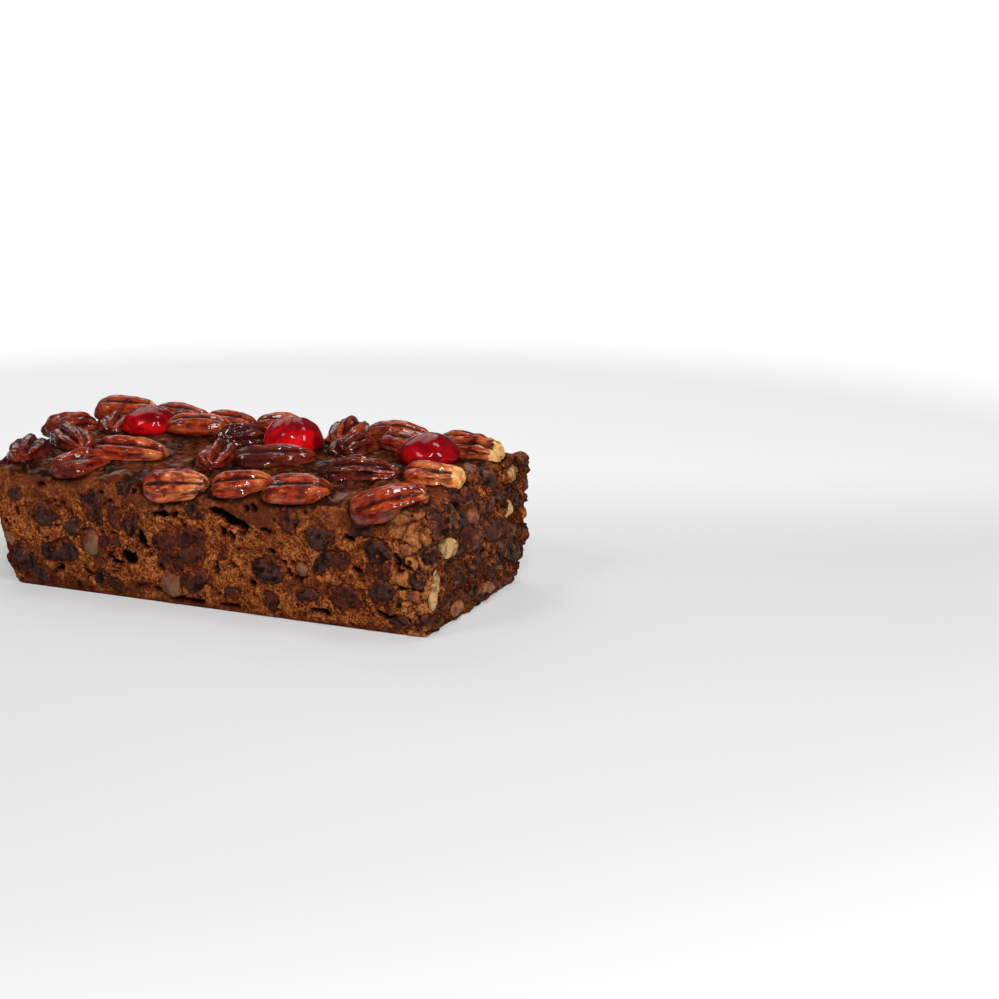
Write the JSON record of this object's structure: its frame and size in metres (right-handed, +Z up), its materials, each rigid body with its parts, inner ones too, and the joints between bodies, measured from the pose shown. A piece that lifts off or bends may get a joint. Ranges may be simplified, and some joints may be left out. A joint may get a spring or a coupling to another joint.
{
  "type": "fruit cake loaf",
  "caption": "Glazed fruit cake loaf, cut at one end, topped with pecan halves and glacé cherries.",
  "frame": {"origin": "centre of the bounding box at the flat base", "axes": "+X along the loaf towards the cut end, +Y towards the back long side, +Z up; the long side seen in front faces -Y"},
  "size_m": [0.199, 0.101, 0.0643],
  "materials": {
    "cake": "moist open crumb with dried fruit, dark and glazed on top",
    "pecan_half": "glazed, glossy",
    "cherry": "glazed, translucent, glossy"
  },
  "bodies": {
    "root": {"cake": "cake", "cherry_01": "cherry", "cherry_02": "cherry", "cherry_03": "cherry", "pecan_half_01": "pecan_half", "pecan_half_02": "pecan_half", "pecan_half_03": "pecan_half", "pecan_half_04": "pecan_half", "pecan_half_05": "pecan_half", "pecan_half_06": "pecan_half", "pecan_half_07": "pecan_half", "pecan_half_08": "pecan_half", "pecan_half_09": "pecan_half", "pecan_half_10": "pecan_half", "pecan_half_11": "pecan_half", "pecan_half_12": "pecan_half", "pecan_half_13": "pecan_half", "pecan_half_14": "pecan_half", "pecan_half_15": "pecan_half", "pecan_half_16": "pecan_half", "pecan_half_17": "pecan_half", "pecan_half_18": "pecan_half", "pecan_half_19": "pecan_half", "pecan_half_20": "pecan_half", "pecan_half_21": "pecan_half", "pecan_half_22": "pecan_half", "pecan_half_23": "pecan_half", "pecan_half_24": "pecan_half", "pecan_half_25": "pecan_half", "pecan_half_26": "pecan_half"}
  },
  "joints": []
}
